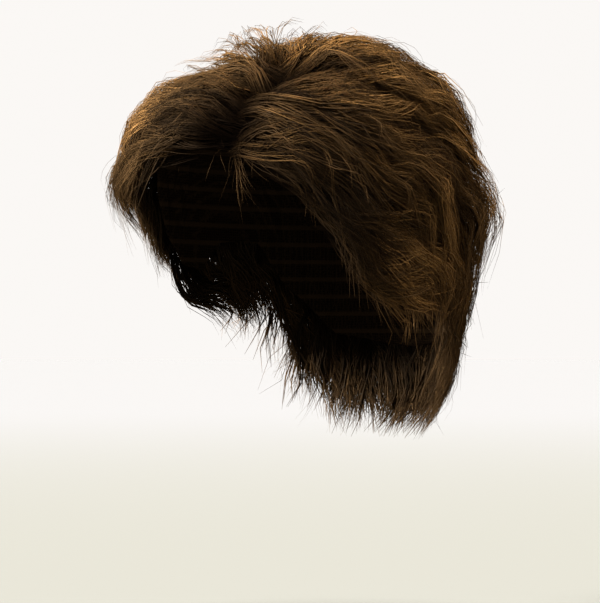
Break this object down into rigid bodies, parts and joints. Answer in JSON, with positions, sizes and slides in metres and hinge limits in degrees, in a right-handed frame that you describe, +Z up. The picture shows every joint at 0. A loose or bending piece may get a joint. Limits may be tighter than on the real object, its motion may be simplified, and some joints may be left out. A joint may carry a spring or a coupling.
{
  "type": "real hair wig",
  "caption": "Short real hair wig with a side parting, a swept fringe and a tapered nape, on a thin cap that is open below for the head.",
  "frame": {"origin": "inside of the cap's crown, where the wig sits on the top of the head", "axes": "+Z up; the wearer faces -Y and their left is +X"},
  "size_m": [0.1876, 0.2317, 0.2311],
  "materials": {
    "hair": "combed dark brown hair, satin",
    "cap_net": "matt sewn wefts on net"
  },
  "bodies": {
    "root": {"cap": "cap_net", "nape_hair": "hair", "back_hair": "hair", "left_side_hair": "hair", "right_side_hair": "hair", "top_hair": "hair", "fringe": "hair"}
  },
  "joints": []
}
